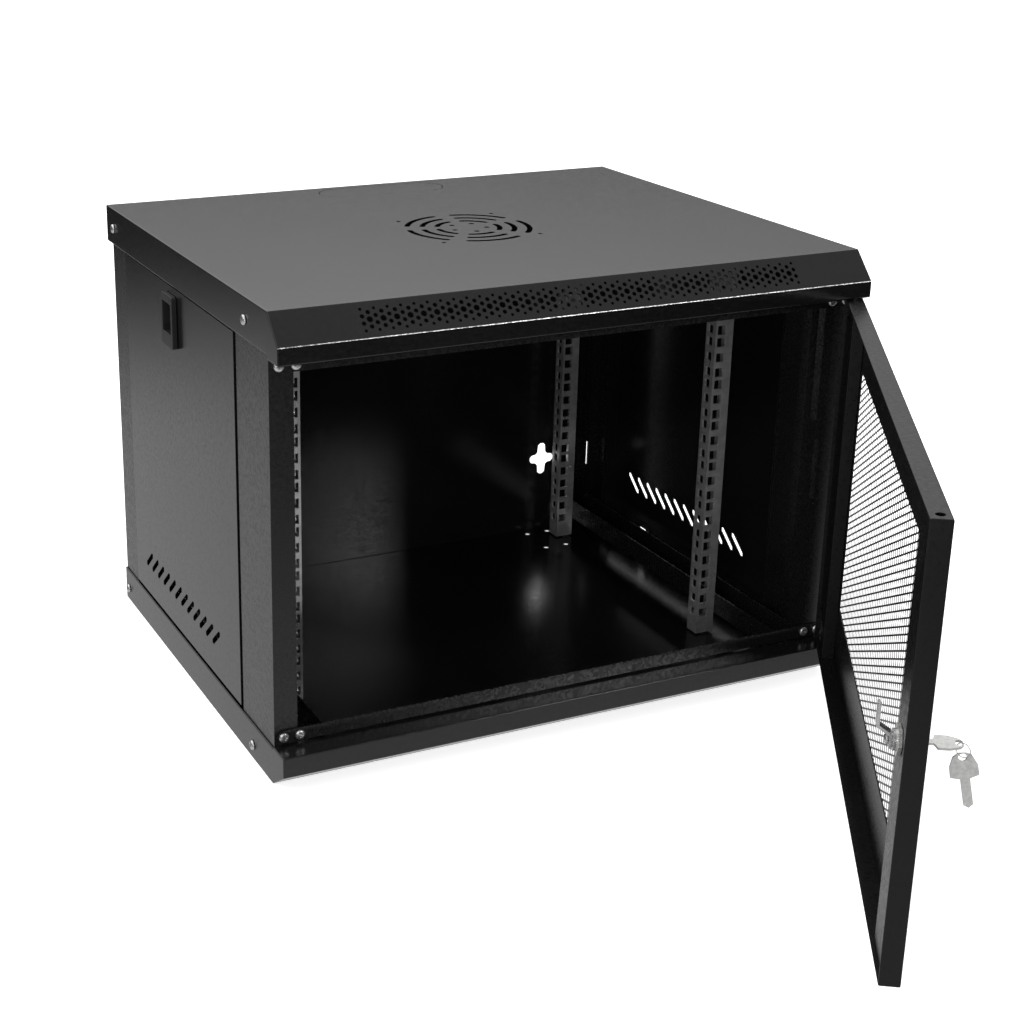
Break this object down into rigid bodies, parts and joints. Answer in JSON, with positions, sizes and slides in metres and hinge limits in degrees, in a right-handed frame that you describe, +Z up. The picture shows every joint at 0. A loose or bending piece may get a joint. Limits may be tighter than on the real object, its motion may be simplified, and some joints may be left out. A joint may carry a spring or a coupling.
{
  "type": "wall-mount network rack cabinet",
  "caption": "Low black sheet-steel 19-inch network cabinet with a vented hinged front door standing open, lift-off side panels, zinc equipment rails and keys in the lock.",
  "frame": {"origin": "underside of the base tray, centred between the sides and between the top cover's front and back edges", "axes": "+Z up, -Y out of the front, +X to the right as seen from the front"},
  "size_m": [0.6094, 0.9897, 0.44],
  "materials": {
    "body_paint": "fine-textured satin black powder coat",
    "frame_paint": "fine-textured satin black powder coat",
    "door_paint": "fine-textured satin black powder coat",
    "latch_plastic": "matt black moulded plastic",
    "rail_zinc": "bright zinc plate",
    "bright_zinc": "bright zinc or nickel plate",
    "key_nickel": "nickel plate"
  },
  "bodies": {
    "cabinet": {"top_cover": "body_paint", "top_knockout": "body_paint", "base_tray": "body_paint", "back_panel": "body_paint", "front_left_post": "frame_paint", "front_right_post": "frame_paint", "rear_left_post": "frame_paint", "rear_right_post": "frame_paint", "front_bottom_bar": "frame_paint", "front_top_bar": "frame_paint", "lower_left_bracket": "frame_paint", "lower_right_bracket": "frame_paint", "upper_left_bracket": "frame_paint", "upper_right_bracket": "frame_paint", "front_left_rail": "rail_zinc", "front_right_rail": "rail_zinc", "rear_left_rail": "rail_zinc", "rear_right_rail": "rail_zinc", "cover_screw_front_left": "bright_zinc", "base_screw_front_left": "bright_zinc", "cover_screw_rear_left": "bright_zinc", "base_screw_rear_left": "bright_zinc", "bar_screw_bottom_left_1": "bright_zinc", "bar_screw_bottom_left_2": "bright_zinc", "bar_screw_top_left_1": "bright_zinc", "bar_screw_top_left_2": "bright_zinc", "cover_screw_front_right": "bright_zinc", "base_screw_front_right": "bright_zinc", "cover_screw_rear_right": "bright_zinc", "base_screw_rear_right": "bright_zinc", "bar_screw_bottom_right_1": "bright_zinc", "bar_screw_bottom_right_2": "bright_zinc", "bar_screw_top_right_1": "bright_zinc", "bar_screw_top_right_2": "bright_zinc"},
    "left_panel": {"left_side_panel": "body_paint", "left_latch_housing": "latch_plastic"},
    "right_panel": {"right_side_panel": "body_paint", "right_latch_housing": "latch_plastic"},
    "left_latch": {"left_latch_slider": "latch_plastic"},
    "right_latch": {"right_latch_slider": "latch_plastic"},
    "door": {"door_shell": "door_paint", "door_mesh": "door_paint", "lock_stiffener": "door_paint", "hinge_stiffener": "door_paint", "upper_hinge_pin": "bright_zinc", "hinge_pin_bracket": "door_paint", "lock_barrel": "bright_zinc", "lock_nut": "bright_zinc"},
    "hinge_pin": {"lower_hinge_pin": "bright_zinc", "hinge_pin_spring": "bright_zinc"},
    "lock": {"lock_plug": "bright_zinc", "lock_cam": "bright_zinc", "cam_screw": "bright_zinc", "key": "key_nickel"},
    "keys": {"key_ring": "key_nickel", "spare_key": "key_nickel"}
  },
  "joints": [
    {"name": "door_hinge", "type": "hinge", "parent": "cabinet", "child": "door", "pos_m": [0.288, -0.242, 0.218], "axis": [0, 0, 1], "range_deg": [-57.5, 122.5]},
    {"name": "hinge_pin_slide", "type": "slide", "parent": "door", "child": "hinge_pin", "axis": [0, 0, 1], "range_m": [0, 0.008], "stiffness_N_per_m": 120, "springref_m": -0.004},
    {"name": "lock_turn", "type": "hinge", "parent": "door", "child": "lock", "pos_m": [-0.00077, -0.71016, 0.218], "axis": [0.8434, -0.5373, 0], "range_deg": [0, 90]},
    {"name": "key_ring_swing", "type": "hinge", "parent": "lock", "child": "keys", "pos_m": [0.02116, -0.72413, 0.218], "axis": [0.9239, 0.3827, 0], "range_deg": [-10, 5]},
    {"name": "left_panel_tilt", "type": "hinge", "parent": "cabinet", "child": "left_panel", "pos_m": [-0.2992, 0.02475, 0.0395], "axis": [0, -1, 0], "range_deg": [0, 20]},
    {"name": "right_panel_tilt", "type": "hinge", "parent": "cabinet", "child": "right_panel", "pos_m": [0.2992, 0.02475, 0.0395], "axis": [0, 1, 0], "range_deg": [0, 20]},
    {"name": "left_latch_slide", "type": "slide", "parent": "left_panel", "child": "left_latch", "axis": [0, 0, -1], "range_m": [0, 0.006], "stiffness_N_per_m": 150, "springref_m": -0.004},
    {"name": "right_latch_slide", "type": "slide", "parent": "right_panel", "child": "right_latch", "axis": [0, 0, -1], "range_m": [0, 0.006], "stiffness_N_per_m": 150, "springref_m": -0.004}
  ]
}
